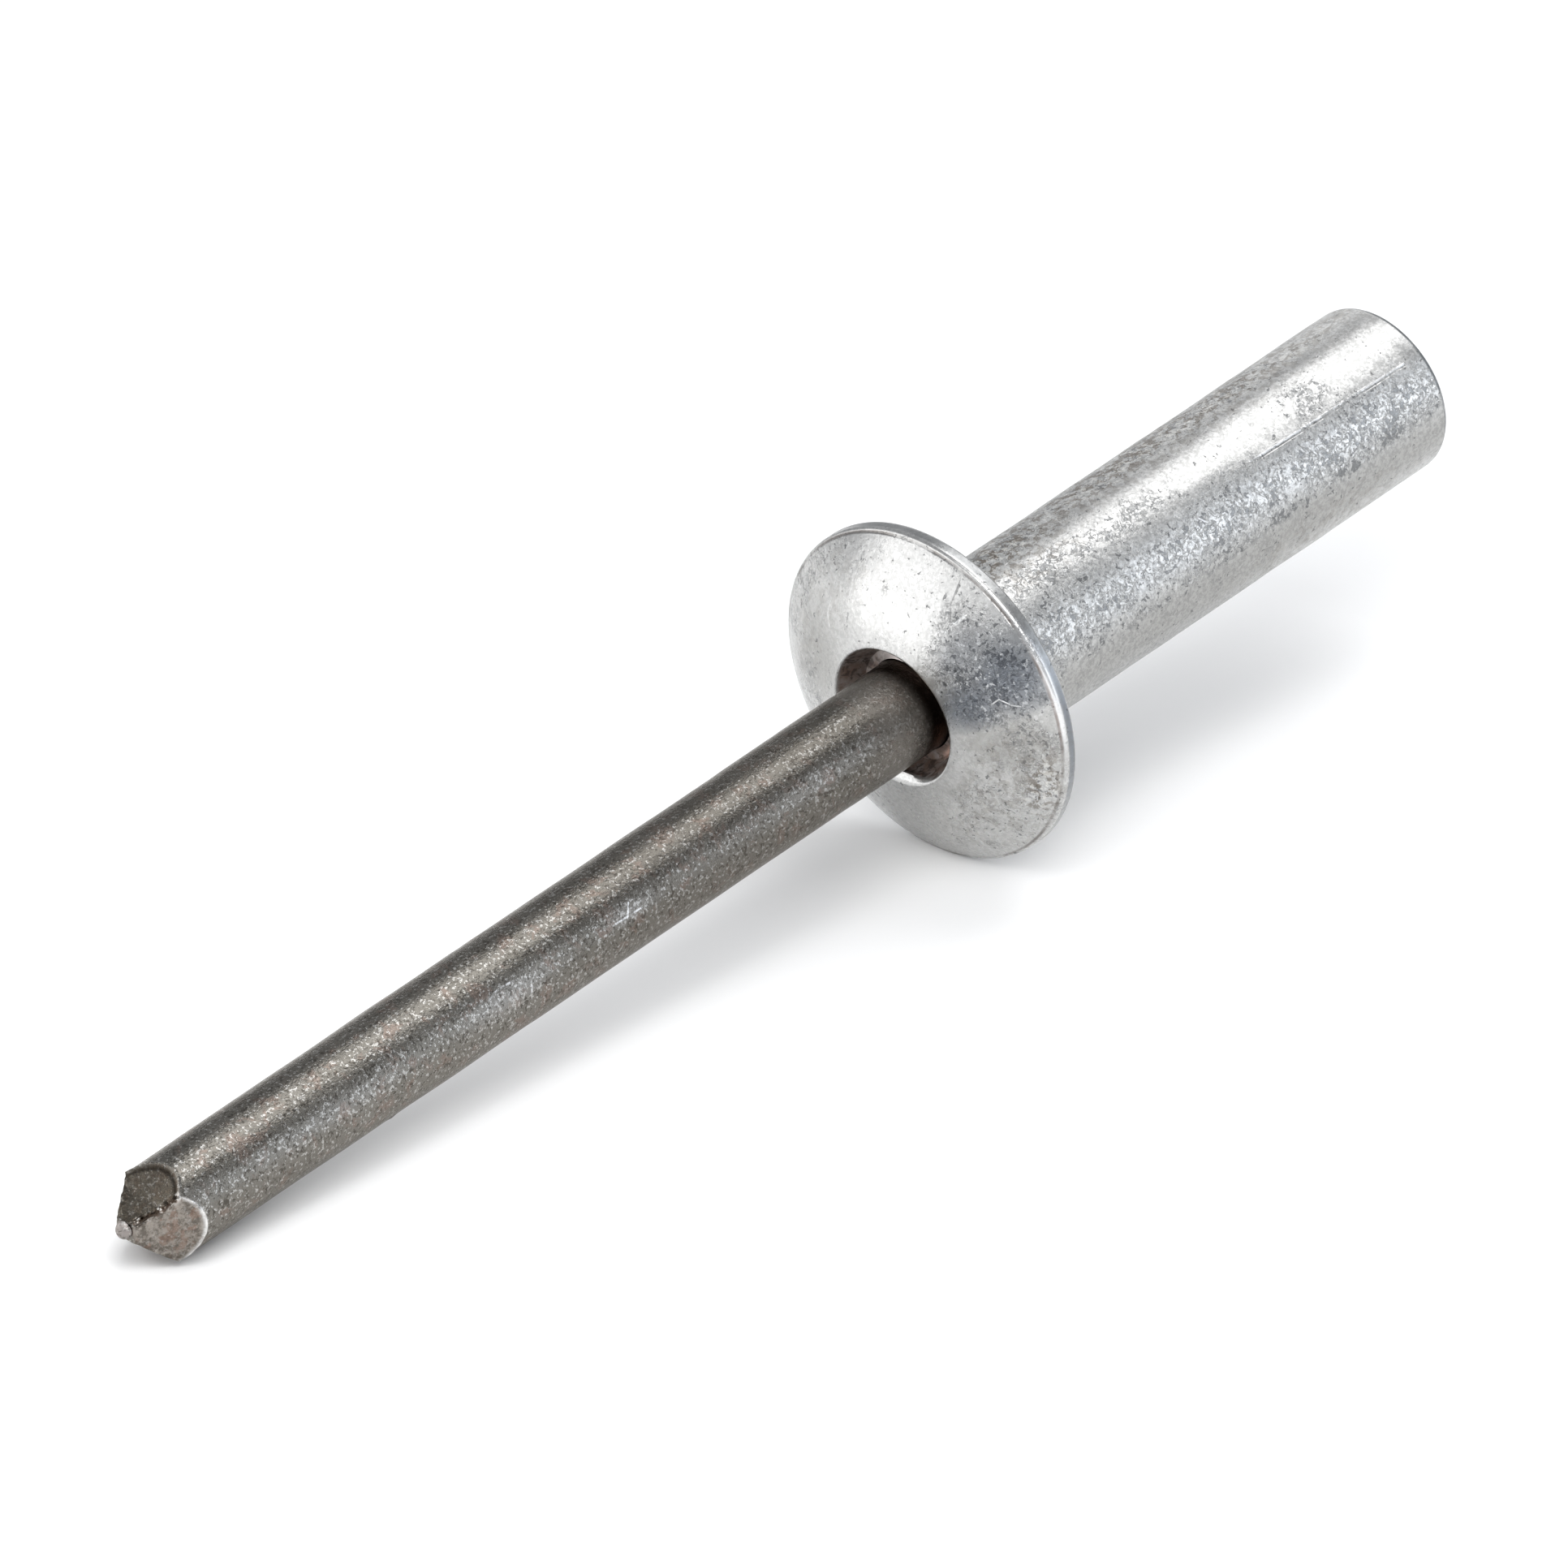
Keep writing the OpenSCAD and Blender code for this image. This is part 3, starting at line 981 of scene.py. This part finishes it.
# The drawn metal, the pinched metal and the dust, each where its noise is low and high, the metal's tint seen
# at a slant, and the strength and colour of all that is painted over the metal
DRAWN_DARKER, DRAWN_LIGHTER = (0.125, 0.116, 0.100), (0.21, 0.199, 0.180)
PINCHED_DARKER, PINCHED_LIGHTER = (0.12, 0.105, 0.09), (0.27, 0.243, 0.215)
DUST_DARKER, DUST_LIGHTER = (0.14, 0.122, 0.105), (0.25, 0.225, 0.20)
STEEL_TINT = (0.8, 0.78, 0.75)
STEEL_PAINTS = {
    "rusty": (0.3, (0.24, 0.15, 0.12)),
    "pinched_rusty": (0.5, (0.19, 0.115, 0.085)),
    # Painted shade: the top facet darker than the others
    "dull": (0.8, (0.075, 0.066, 0.050)),
    "nib": (0.85, (0.33, 0.30, 0.285)),
    "worn": (0.25, (0.36, 0.355, 0.35)),
    # Bright spots: partly the grain's own colour, partly painted glints
    "flecks": (1, (0.46, 0.45, 0.43)),
    "pocks": (1, (0.045, 0.039, 0.032)),
    # Painted shade: the stem darker towards the head
    "grey": (1, (0.05, 0.042, 0.035)),
    # Painted shadow on the stem inside the mouth
    "in_mouth": (1, (0.03, 0.02, 0.016)),
    "lines": (0.7, (0.7, 0.7, 0.7)),
    # Painted highlight on the burr of one facet
    "burr": (0.9, (0.85, 0.84, 0.83)),
    # Painted shade in the groove
    "groove": (0.85, (0.02, 0.016, 0.012)),
    "torn_dark": (1, (0.035, 0.024, 0.017)),
    "torn_bright": (1, (0.62, 0.60, 0.57)),
}
# How much the facets cover the drawn metal and hide its bright spots and pocks, and the strengths of these
# two
FACET_COVER, FACET_HIDES, GLINT_FLECKS, POCKS = 0.9, 0.7, 0.8, 0.7
# What wear adds to the bright spots, partly painted glints
WORN_GLINT_FLECKS = 0.05
# How much rougher the nib and the dust are, and how much less metallic the dust is
NIB_ROUGHER, DUST_ROUGHER, DUST_LESS_METALLIC = 0.3, 0.12, 0.8
# Drawing stretched the mottle along the wire, which takes this share of its scale there
DRAWN_LONG = 0.3
# Heights of the steel's bumps, in millimetres
STEEL_GRAIN_BUMP, STEEL_WAVE_BUMP = 0.018, 0.012


def steel():
    """Dark drawn steel wire with a coarse bright grain, partly painted glints, and painted shade on the top
    facet, in its groove, towards the head and inside the mouth, and a painted highlight on one burr.
    """
    s = Shader("dark_drawn_steel", STEEL_NOISES, STEEL_LEVELS, STEEL_PAINTS)
    worn, facet, dull, nib, burr, groove, torn = (
        s.mask(name) for name in ("worn", "facet", "dull", "nib", "burr", "groove", "torn")
    )
    height = s.parts(s.place)[2]
    drawn = s.mapped(s.place, (1, 1, DRAWN_LONG))
    mottle = s.field("mottle", drawn)
    ragged = s.field("ragged")
    drawn_over = s.minus(1, s.times(facet, FACET_HIDES))
    flecks = s.level("flecks", s.plus(s.field("flecks"), s.times(worn, WORN_GLINT_FLECKS)))
    pinched = s.mix(s.level("pinched"), PINCHED_DARKER, PINCHED_LIGHTER)
    pinched = s.paint(pinched, pinched_rusty=s.level("pinched_rusty"))
    dusty = s.times(s.level("dust_from", height), s.level("dust_to", height))

    colour = s.paint(s.mix(mottle, DRAWN_DARKER, DRAWN_LIGHTER), rusty=s.level("rusty"))
    colour = s.mix(s.times(facet, FACET_COVER), colour, pinched)
    colour = s.paint(
        colour,
        dull=dull,
        nib=nib,
        worn=worn,
        flecks=s.times(flecks, s.times(drawn_over, GLINT_FLECKS)),
        pocks=s.times(s.level("pocks"), s.times(drawn_over, POCKS)),
        # Painted shade, darker towards the head
        grey=s.level("grey_by_height", height),
    )
    colour = s.mix(dusty, colour, s.mix(mottle, DUST_DARKER, DUST_LIGHTER))
    colour = s.paint(
        colour,
        # Painted shadow inside the mouth
        in_mouth=s.level("in_mouth", height),
        lines=s.times(s.scratches(STEEL_LINES), s.level("lines", ragged)),
        burr=burr,
        groove=groove,
        torn_dark=s.times(torn, s.level("torn_dark", ragged)),
        torn_bright=s.times(torn, s.level("torn_bright", ragged)),
    )
    roughness = s.plus(s.level("roughness", mottle), s.times(nib, NIB_ROUGHER))
    roughness = s.plus(roughness, s.times(dusty, DUST_ROUGHER))
    metallic = s.minus(1, s.times(dusty, DUST_LESS_METALLIC))
    s.put(s.surface.inputs["Specular Tint"], STEEL_TINT)

    normal = s.bump(s.field("grain"), STEEL_GRAIN_BUMP)
    normal = s.bump(s.field("waves", drawn), STEEL_WAVE_BUMP, normal)
    return s.finish(colour, roughness, normal, metallic)


# Stage

FLOOR_COLOUR = (0.96, 0.957, 0.952, 1)
ROOM_COLOUR = (0.468, 0.48, 0.50, 1)
FLOOR_HALF = 3.0
WHITE, COOL = (1, 1, 1), (0.92, 0.98, 1.06)


def floor_material():
    """A matt pale floor without gloss."""
    material = bpy.data.materials.new("pale_floor")
    material.use_nodes = True
    surface = material.node_tree.nodes["Principled BSDF"]
    surface.inputs["Base Color"].default_value = FLOOR_COLOUR
    surface.inputs["Roughness"].default_value = 1.0
    surface.inputs["Specular IOR Level"].default_value = 0.0
    return material


def make_floor():
    signs = [(-1, -1), (1, -1), (1, 1), (-1, 1)]
    corners = [(x * FLOOR_HALF, y * FLOOR_HALF, FLOOR_Z) for x, y in signs]
    mesh = bpy.data.meshes.new("floor")
    mesh.from_pydata(corners, [], [(0, 1, 2, 3)])
    mesh.materials.append(floor_material())
    floor = bpy.data.objects.new("floor", mesh)
    bpy.context.scene.collection.objects.link(floor)


def make_softbox(name, towards, distance, size, radiance, colour=WHITE, long_side=(1, 0, 0), aim=(0, 0, 0)):
    """A soft panel that way from the aim and facing it; size is (along long_side, across it), in metres.
    A lamp's energy for a given radiance grows with its area."""
    lamp = bpy.data.lights.new(name, "AREA")
    lamp.shape = "RECTANGLE"
    lamp.size, lamp.size_y = size
    lamp.energy = radiance * 4 * size[0] * size[1]
    lamp.color = colour
    panel = bpy.data.objects.new(name, lamp)
    back = Vector(towards).normalized()
    along = Vector(long_side)
    along = (along - back * along.dot(back)).normalized()
    turned = Matrix((along, back.cross(along), back)).transposed()
    panel.matrix_world = Matrix.Translation(Vector(aim) + back * distance) @ turned.to_4x4()
    panel.visible_camera = False
    bpy.context.scene.collection.objects.link(panel)


def make_lights():
    """A pale room with a softbox overhead, a fill over the camera, and cards in front, aside and close by."""
    overhead = (0.505, 0.035, 0.862)
    make_softbox("overhead_core", overhead, 1.2, (1.0, 0.70), 1.95, long_side=AXIS)
    make_softbox("camera_fill", (-0.42, -0.38, 0.82), 1.2, (1.2, 1.0), 1.1)
    make_softbox("front_card", (0.65, -0.74, 0.21), 1.6, (1.2, 0.8), 0.95, COOL)
    make_softbox("side_card", (-0.955, 0.03, 0.29), 1.2, (0.5, 0.25), 1.0, long_side=(0, 1, 0))
    head_aim, shank_aim = (0, 0, FLOOR_Z + 0.017), (SHANK_LEN * 0.65 * MM, 0, FLOOR_Z + 0.014)
    make_softbox(
        "head_card", (-0.83, 0.56, 0), 0.05, (0.040, 0.034), 1.22,
        long_side=(0.56, 0.83, 0), aim=head_aim,
    )
    make_softbox(
        "shank_back", (0.66, 0.70, 0.2), 0.05, (0.022, 0.026), 0.75,
        long_side=(0.75, -0.66, 0), aim=shank_aim,
    )
    make_softbox(
        "shank_front", (0.66, -0.75, 0.2), 0.06, (0.022, 0.036), 1.1, COOL,
        long_side=(0.75, 0.66, 0), aim=shank_aim,
    )
    make_softbox("floor_fill", (-0.5, -0.4, 0.77), 0.085, (0.06, 0.06), 1.6, aim=(-0.006, -0.003, FLOOR_Z))


def make_room():
    """An even pale light from all round."""
    world = bpy.data.worlds.new("studio")
    world.use_nodes = True
    world.node_tree.nodes["Background"].inputs["Color"].default_value = ROOM_COLOUR
    bpy.context.scene.world = world


def make_camera():
    """The photograph's camera, which shows the frame's origin at the photograph's seat centre."""
    right = Vector((math.cos(VIEW_TURN), -math.sin(VIEW_TURN), 0))
    flat = math.cos(VIEW_ELEVATION)
    ahead = Vector((math.sin(VIEW_TURN) * flat, math.cos(VIEW_TURN) * flat, -math.sin(VIEW_ELEVATION)))
    up = right.cross(ahead)
    to_right = (PHOTO_SEAT_CENTRE[0] - PHOTO_SIDE / 2) / PX_PER_MM
    to_top = (PHOTO_SIDE / 2 - PHOTO_SEAT_CENTRE[1]) / PX_PER_MM
    data = bpy.data.cameras.new("photo_camera")
    data.sensor_fit = "HORIZONTAL"
    data.sensor_width = SENSOR
    data.lens = SENSOR * PX_PER_MM * VIEW_DISTANCE / PHOTO_SIDE
    data.clip_start = CLIP_START
    camera = bpy.data.objects.new("photo_camera", data)
    turned = Matrix((right, up, -ahead)).transposed()
    eye = -(right * to_right + up * to_top + ahead * VIEW_DISTANCE) * MM
    camera.matrix_world = Matrix.Translation(eye) @ turned.to_4x4()
    bpy.context.scene.collection.objects.link(camera)
    bpy.context.scene.camera = camera


make_camera()
make_body().data.materials.append(aluminium())
make_mandrel().data.materials.append(steel())
make_floor()
make_lights()
make_room()
bpy.context.scene.view_settings.view_transform = "Standard"
